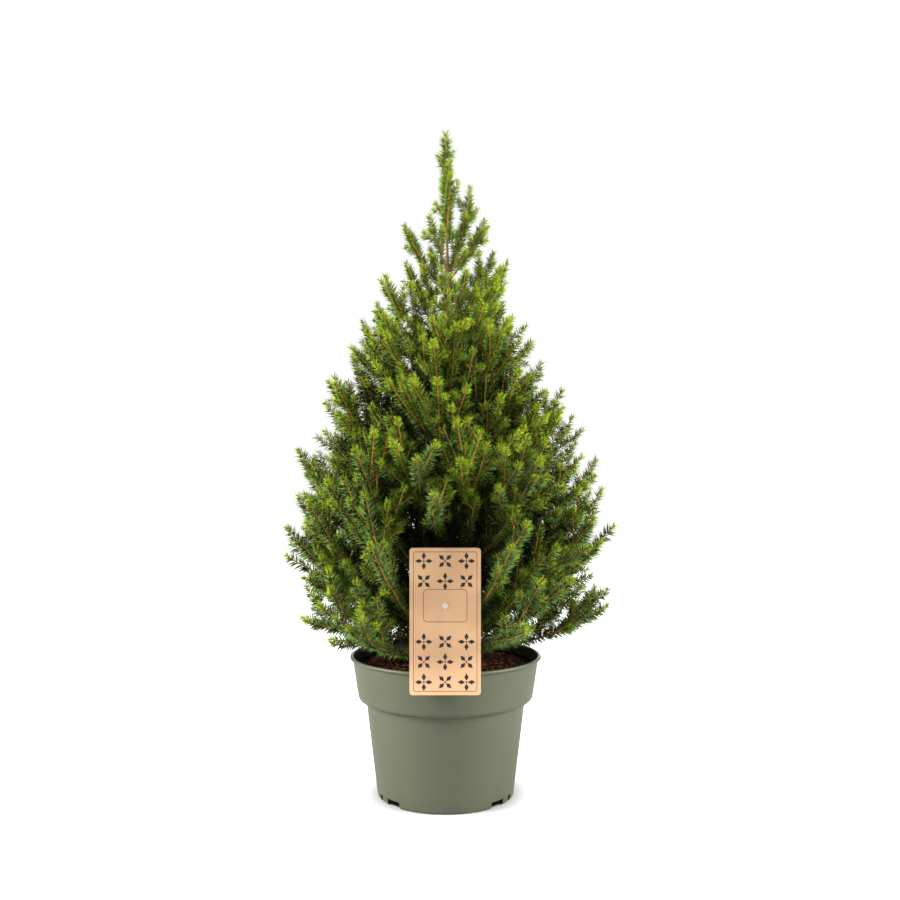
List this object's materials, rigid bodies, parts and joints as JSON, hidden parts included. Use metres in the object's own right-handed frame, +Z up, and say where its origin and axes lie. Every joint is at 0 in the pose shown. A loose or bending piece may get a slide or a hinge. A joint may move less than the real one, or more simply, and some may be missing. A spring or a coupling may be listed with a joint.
{
  "type": "potted dwarf spruce",
  "caption": "Young conical dwarf spruce with short needled shoots, standing in a tapered nursery pot with a wide rim band and a hanging label card.",
  "frame": {"origin": "centre of the pot's flat underside", "axes": "+Z up along the trunk, -Y to the front where the label card hangs, +X to the right seen from the front"},
  "size_m": [0.3209, 0.319, 0.66],
  "materials": {
    "pot_plastic": "satin sage green moulded plastic",
    "soil": "dark bark chips and peat",
    "bark": "rough brown bark",
    "needles": "short green needles, lime at the tips",
    "card": "kraft card with a plain printed ornament",
    "clear_plastic": "frosted clear plastic"
  },
  "bodies": {
    "root": {"bough_low_1": "bark", "bough_low_2": "bark", "bough_low_3": "bark", "bough_low_4": "bark", "bough_low_5": "bark", "bough_low_6": "bark", "bough_low_7": "bark", "bough_skirt_1": "bark", "bough_skirt_2": "bark", "bough_skirt_3": "bark", "bough_skirt_4": "bark", "bough_skirt_5": "bark", "bough_skirt_6": "bark", "foliage_leader": "needles", "foliage_low_1": "needles", "foliage_low_2": "needles", "foliage_low_3": "needles", "foliage_low_4": "needles", "foliage_low_5": "needles", "foliage_low_6": "needles", "foliage_low_7": "needles", "foliage_middle_1": "needles", "foliage_middle_2": "needles", "foliage_middle_3": "needles", "foliage_middle_4": "needles", "foliage_middle_5": "needles", "foliage_shoulder_1": "needles", "foliage_shoulder_2": "needles", "foliage_shoulder_3": "needles", "foliage_shoulder_4": "needles", "foliage_shoulder_5": "needles", "foliage_skirt_1": "needles", "foliage_skirt_2": "needles", "foliage_skirt_3": "needles", "foliage_skirt_4": "needles", "foliage_skirt_5": "needles", "foliage_skirt_6": "needles", "foliage_top_1": "needles", "foliage_top_2": "needles", "foliage_top_3": "needles", "foliage_top_4": "needles", "foliage_upper_1": "needles", "foliage_upper_2": "needles", "foliage_upper_3": "needles", "foliage_upper_4": "needles", "foliage_waist_1": "needles", "foliage_waist_2": "needles", "foliage_waist_3": "needles", "foliage_waist_4": "needles", "foliage_waist_5": "needles", "foliage_waist_6": "needles", "label_card": "card", "label_stake": "clear_plastic", "pot": "pot_plastic", "soil": "soil", "trunk": "bark"}
  },
  "joints": []
}
